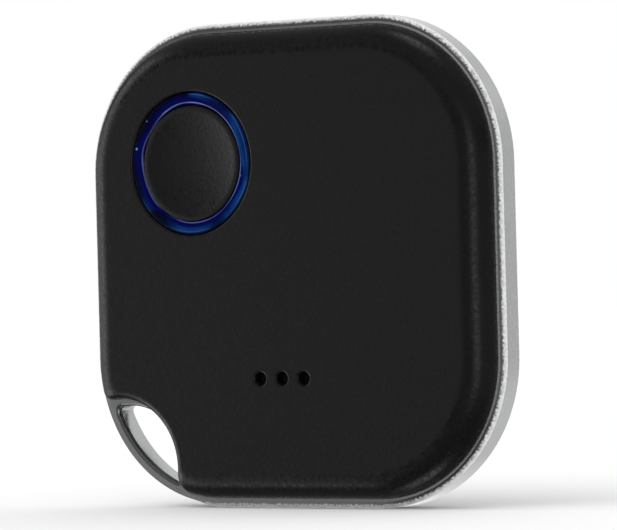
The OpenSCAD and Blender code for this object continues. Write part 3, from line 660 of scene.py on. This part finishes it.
def frame_band():
    """The metal band: its outer side is a stack of rounded squares whose front and back edges turn
    by a small arc into a bevel, its inner side follows the shells' outline, and the key loop's
    lens is a stack of its own with rounded lips, wider on its bar. The front and back fall away a
    little towards the outside, along the top from the shells on. The bevels carry a painted
    highlight, except along the key loop's bar, which is drawn in, and a fine line beside the
    shells carries a weaker painted highlight, strongest on the right."""
    skin = Skin()
    turn = np.radians(np.linspace(0, BEVEL_TURN, 8))
    # Flat metal before the arc
    lead = 0.1
    wide = BEVEL_ARC * math.sin(turn[-1]) + BEVEL * math.cos(turn[-1])
    inset = mirrored(np.concatenate([[wide + lead], wide - BEVEL_ARC * np.sin(turn), [0.0, 0.0]]))
    drop = BAND_FALL + BEVEL_ARC * (1 - np.cos(turn))
    side = drop[-1] + BEVEL * math.sin(turn[-1])
    z = RIM_Z - np.concatenate([[BAND_FALL], drop, [side, side + MARGIN]])
    # The painted highlight grows along the arc, from the front to the bevel
    arc_from, arc_gain = 0.4, 0.3
    bright = np.concatenate([[0], arc_from + arc_gain * turn / turn[-1], [1, 0]])
    # The bar, in degrees either side of the corner's diagonal as seen from the tag's middle, and
    # over how many more the painted highlight and the bevel come back
    bar, ground_in, bevel_in = 16, 4, 6
    outline = band_outline(inset)
    middle = outline.mean(0)
    from_bar = np.degrees(np.abs(np.arctan2(-middle[:, 1], -middle[:, 0]) - math.pi / 4)) - bar
    bright = mirrored(bright)[:, None] * np.clip(from_bar / ground_in, 0, 1)
    worn = np.clip(1 - from_bar / bevel_in, 0, 1)[:, None]
    outline = outline + worn * (band_outline(np.maximum(inset, LOOP_WORN)) - outline)
    outer = skin.loft(outline, mirrored(z, -1), bright)

    line = -LINE_OUT - np.array([LINE_W + LINE_SOFT, LINE_W, 0, -LINE_SOFT])
    line = mirrored(np.append(line, BAND_IN))
    outline = shell_outline(line, line)
    middle = outline.mean(0)
    # The painted highlight line is brightest at 5 degrees above the right, where the light falls,
    # and gone 77 degrees away from there
    brightest, most = math.radians(5), 0.4
    turned = np.arctan2(middle[:, 1], middle[:, 0]) - brightest
    shine = most * np.clip(1.6 * np.cos(turned) - 0.35, 0, 1)
    bright = mirrored(np.array([0, 1, 1, 0, 0]))[:, None] * -shine
    # The fall beside the shells is full at the top, and gone where the sine of the angle up from
    # the level is a third
    upward = middle[:, 1] / np.hypot(middle[:, 0], middle[:, 1])
    fall = BAND_FALL / 2 * np.clip(1.5 * upward - 0.5, 0, 1)
    z = RIM_Z - np.array([1, 1 - LINE_SOFT / LINE_W, 0, 0, 0])[:, None] * fall
    inner = skin.loft(outline, mirrored(z, -1), bright)

    # The lip grows from the lens's ends to its bar, by the distance from the corner's centre
    grow_from, grow_over = 9.2, 0.6
    lens, grown = loop_outline(np.array([0.0, 1.0]))
    on_bar = np.clip((np.hypot(*(lens + CORNER_C).T) - grow_from) / grow_over, 0, 1)
    lip = LOOP_LIP + (LOOP_ROUND - LOOP_LIP) * on_bar
    share, rise = quarter(LIP_STEPS)
    z = np.concatenate([0 * lip[None], lip * (rise - 1)[:, None]]) + RIM_Z
    spread = mirrored(np.concatenate([lip[None] + MARGIN / 3, lip * share[:, None]]))[..., None]
    loop = skin.loft(lens + spread * (grown - lens), mirrored(z, -1))
    for face in zip(outer, inner, loop):
        skin.flat(*face)
    skin.piece("frame_band_skin", "frame_band", plated_band, "case")


def light_ring():
    """The light guide: a flanged profile with rounded upper edges, spun round the button's axis."""
    skin = Skin()
    bore, r, top, lip, edge = 4.35, 5.26, 2.97, 0.12, 0.25
    foot_r, foot_z, step_z, flange_r, flange_z = 4.7, 1.62, 1.97, 5.74, 2.1
    share, rise = quarter(10)
    outside = np.stack([r - lip * share, top - lip + lip * rise], -1)[::-1]
    within = np.stack([bore + edge * share, top - edge + edge * rise], -1)
    foot = [(foot_r, step_z), (foot_r, foot_z)]
    flange = [(flange_r, foot_z), (flange_r, flange_z), (r, flange_z)]
    profile = np.concatenate([foot, flange, outside, within, [(bore, step_z), (foot_r, step_z)]])
    skin.spin(profile, BUTTON_C, 160)
    skin.piece("light_ring_skin", "light_ring", light_blue, "case")


def button_cap():
    """The cap: a shallow ball-shaped finger dish inside a flat rim, with a soft edge between them,
    over a skirt, a lip and a centre boss, spun round the button's axis."""
    skin = Skin()
    r, rim_z, dish_r, depth, soft = 4.28, 2.88, 3.92, 0.42, 0.05
    lip_r, lip_z, lip_foot_z = 4.56, 1.95, 1.7
    well_r, well_z, boss_r, boss_z = 3.68, 2.12, 1.0, 1.75
    across = np.linspace(0, dish_r - soft, 24)
    ball = (dish_r**2 + depth**2) / (2 * depth)
    dish = np.stack([across, rim_z - depth + ball - np.sqrt(ball**2 - across**2)], -1)
    rim = [(dish_r + 0.02, rim_z), (r - 0.06, rim_z), (r - 0.02, rim_z - 0.015), (r, rim_z - soft)]
    lip = [(r, lip_z), (lip_r, lip_z), (lip_r, lip_foot_z), (well_r, lip_foot_z)]
    under = [(well_r, well_z), (boss_r, well_z), (boss_r, boss_z), (0, boss_z)]
    skin.spin(np.concatenate([dish, rim, lip, under]), BUTTON_C, 128)
    skin.piece("button_cap_skin", "button_cap", cap_black, "button")


def switch_dome():
    """The switch's snap dome: a thin cap of a ball, its two faces spun about the button's axis from
    one centre, that lies flat on the switch's floor when the button is down."""
    skin = Skin()
    r, floor_z, rise, thick = 1.21, 0.78, 0.25, 0.05
    ball = (r**2 + rise**2) / (2 * rise)
    centre_z = floor_z + rise - ball
    top = np.linspace(0, math.asin(r / ball), 20)
    under = np.linspace(math.acos((floor_z - centre_z) / (ball - thick)), 0, 20)
    outside = ball * np.stack([np.sin(top), np.cos(top)], -1)
    within = (ball - thick) * np.stack([np.sin(under), np.cos(under)], -1)
    skin.spin(np.concatenate([outside, within]) + [0, centre_z], BUTTON_C, 96)
    made = skin.piece("switch_dome_skin", "switch_dome", spring_steel, "case")
    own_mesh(made)


front_shell()
back_cover()
frame_band()
light_ring()
button_cap()
switch_dome()

finishes = {
    seal_silicone: ["cover_seal"],
    gasket_grey: ["cell_gasket"],
    tray_nylon: ["cell_tray"],
    chip_epoxy: ["switch_plunger", "switch_base", "radio_chip", "resistors"],
    pale_ceramic: ["ring_leds", "sounder_ceramic", "chip_antenna"],
    tan_ceramic: ["capacitors"],
    spring_steel: [
        "switch_plate", "sounder_springs", "crystal", "negative_contact", "positive_contact",
    ],
    screw_zinc: ["board_screws"],
    rolled_brass: ["sounder_plate"],
    adhesive_film: ["sounder_adhesive"],
    drawn_steel: ["cell_can", "cell_cap"],
    mesh_cloth: ["dust_mesh"],
    mask_green: ["circuit_board"],
}
for material, nodes in finishes.items():
    for name in nodes:
        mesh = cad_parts[name].data
        mesh.materials.clear()
        mesh.materials.append(material)


def soft_panels():
    """The drum's material, a light of its own whose brightness follows the compass angle round the
    tag and the height: panels are laid over each other one by one."""
    made = bpy.data.materials.new("soft_panels")
    made.use_nodes = True
    tree = made.node_tree
    tree.nodes.clear()
    # For each panel: how it is laid over those before it, its lower and its upper border, each as
    # two heights in metres from none to full, and its brightness at compass angles, in degrees to
    # the right of the face's own direction
    no_foot, no_top = (-10.0, -9.0), (10.0, 9.0)
    panels = [
        # Well above and below the tag
        ("MIX", no_foot, no_top, [
            (-140, 0.12), (-110, 0.1), (-80, 0.1), (-60, 0.05), (132, 0.06),
        ]),
        # At the tag's own height
        ("MIX", (-0.5, -0.16), (0.2, 0.07), [
            (-145, 0.35), (-120, 0.35), (-105, 0.45), (-90, 0.7), (-74, 1.3), (-62, 1.25),
            (-56, 0.85), (-50, 0.38), (-33, 0.26), (-21, 0.25), (-10, 0.1), (62, 0.17), (138, 0.17),
        ]),
        # One bright strip to the right
        ("ADD", (-0.4, -0.1), (0.4, 0.1), [(27, 0.0), (36, 0.65), (48, 0.65), (60, 0.0)]),
        # The table's edge to the left
        ("ADD", (-0.78, -0.64), (-0.15, -0.62), [(-80, 0.0), (-62, 0.8), (-44, 0.8), (-36, 0.0)]),
        # A white card that stands low on the left
        ("ADD", (-0.5, -0.36), (-0.1, -0.18), [(-98, 0.0), (-86, 0.8), (-64, 0.8), (-56, 0.0)]),
        # A wide panel behind
        ("ADD", (-0.65, -0.5), (0.6, 0.5), [(-150, 0.82), (-145, 0.0), (144, 0.0), (147.5, 0.82)]),
        # A grey ceiling
        ("ADD", (0.2, 0.34), no_top, [
            (-150, 0.0), (-130, 0.07), (-20, 0.07), (5, 0.09), (160, 0.1), (175, 0.0),
        ]),
        # The share of light left in a dark gap below the face's own view
        ("MULTIPLY", (-0.24, -0.2), (-0.06, -0.085), [
            (-33, 1.0), (-31, 0.06), (-14, 0.06), (-8, 1.0),
        ]),
        # The upper part of the panel on the left
        ("ADD", (0.07, 0.2), (0.52, 0.4), [(-104, 0.0), (-88, 0.75), (-68, 1.0), (-58, 0.0)]),
    ]
    place = add(tree, "TexCoord").outputs["Object"]
    split = add(tree, "SeparateXYZ", {0: place})
    right, back, height = split.outputs
    front = add(tree, "Math", {0: back, 1: -1.0}, operation="MULTIPLY").outputs[0]
    angle = add(tree, "Math", {0: right, 1: front}, operation="ARCTAN2").outputs[0]
    compass = add(tree, "MapRange", {0: angle, 1: -math.pi, 2: math.pi}).outputs[0]
    lit = linear("#000000")
    for how, foot, top, tones in panels:
        ramp = add(tree, "ValToRGB", {0: compass})
        stops = ramp.color_ramp.elements
        while len(stops) < len(tones):
            stops.new(0.5)
        for stop, (degrees, value) in zip(stops, tones):
            stop.position = (degrees + 180) / 360
            stop.color = (value, value, value, 1.0)
        above, below = [
            add(
                tree, "MapRange", {0: height, 1: none, 2: full}, interpolation_type="SMOOTHSTEP"
            ).outputs[0]
            for none, full in (foot, top)
        ]
        share = add(tree, "Math", {0: above, 1: below}, operation="MULTIPLY").outputs[0]
        tone = ramp.outputs[0]
        lit = add(
            tree, "Mix", {0: share, 6: lit, 7: tone}, data_type="RGBA", blend_type=how
        ).outputs[2]
    glow = add(tree, "Emission", {"Color": lit})
    add(tree, "OutputMaterial", {"Surface": glow.outputs[0]})
    return made


def stage_ring(name, radii, heights, count, material):
    """A floor or wall round the tag: a stack of circles about the upright axis."""
    skin = Skin()
    skin.loft(ring_outline((0.0, 0.0), radii, count), heights)
    mesh = bpy.data.meshes.new(name)
    mesh.from_pydata(np.concatenate(skin.points) * MM, [], skin.faces)
    mesh.materials.append(material)
    made = bpy.data.objects.new(name, mesh)
    scene.collection.objects.link(made)
    return made


def set_stage():
    """A wide white floor at the tag's lowest edge, and a drum of soft panels that only gloss
    sees."""
    paper, _, shader = surface("white_paper")
    shader.inputs["Base Color"].default_value = linear("#ffffff")
    shader.inputs["Roughness"].default_value = 0.9
    shader.inputs["Specular IOR Level"].default_value = 0.0
    floor = stage_ring("floor", [0.001, 60.0, 600.0, 6000.0], np.zeros(4), 64, paper)
    floor.visible_glossy = False
    drum = stage_ring("drum", [650.0, 650.0], [-2600.0, 2600.0], 180, soft_panels())
    drum.visible_camera = drum.visible_diffuse = drum.visible_shadow = False


def set_lights():
    """White air all round, seen as white by the camera, gloss and clear pieces and softer by matt
    ones, and one large soft lamp from the upper left."""
    world = bpy.data.worlds.new("white_air")
    world.use_nodes = True
    scene.world = world
    tree = world.node_tree
    path = add(tree, "LightPath").outputs
    seen = path["Is Camera Ray"]
    for ray in ("Is Glossy Ray", "Is Transmission Ray"):
        seen = add(tree, "Math", {0: seen, 1: path[ray]}, operation="MAXIMUM").outputs[0]
    soft, white = 0.88, 1.0
    level = add(tree, "MapRange", {0: seen, 3: soft, 4: white})
    air = tree.nodes["Background"]
    tree.links.new(level.outputs[0], air.inputs["Strength"])
    air.inputs["Color"].default_value = linear("#ffffff")
    lamp = bpy.data.lights.new("soft_lamp", "SUN")
    lamp.energy, lamp.angle = 0.6, math.radians(60)
    made = bpy.data.objects.new("soft_lamp", lamp)
    made.rotation_euler = np.radians([40.0, 0.0, -35.0])
    made.visible_glossy = False
    scene.collection.objects.link(made)


def turning(first, second, angle):
    """A turn by an angle from one axis towards another, as a matrix."""
    made = np.eye(3)
    made[first, first] = made[second, second] = math.cos(angle)
    made[first, second], made[second, first] = -math.sin(angle), math.sin(angle)
    return made


def set_camera():
    """The photograph's camera: its axes come from a turn about the tag's upright axis, a small nod
    and a small roll, and its place from the distance along them."""
    turn, nod, roll = np.radians([-33.271, -0.124, 1.494])
    axes = turning(0, 1, roll) @ turning(1, 2, nod) @ turning(2, 0, turn)
    # Where the face's middle is along the camera's axes, in millimetres
    away = np.array([-2.192, 0.082, -313.567])
    place = -axes.T @ away + [0, 0, FACE_Z]
    # The focal length and the photograph's width, in pixels
    focal, width = 4277.27, 617
    camera = bpy.data.cameras.new("camera")
    camera.sensor_width = 36.0
    camera.lens = focal * camera.sensor_width / width
    camera.clip_start, camera.clip_end = 0.01, 50.0
    made = bpy.data.objects.new("camera", camera)
    matrix = np.eye(4)
    matrix[:3, :3] = np.stack([axes[:, 0], -axes[:, 2], axes[:, 1]])
    matrix[:3, 3] = stand_up(place)
    made.matrix_world = Matrix(matrix.tolist())
    scene.collection.objects.link(made)
    scene.camera = made


set_stage()
set_lights()
set_camera()
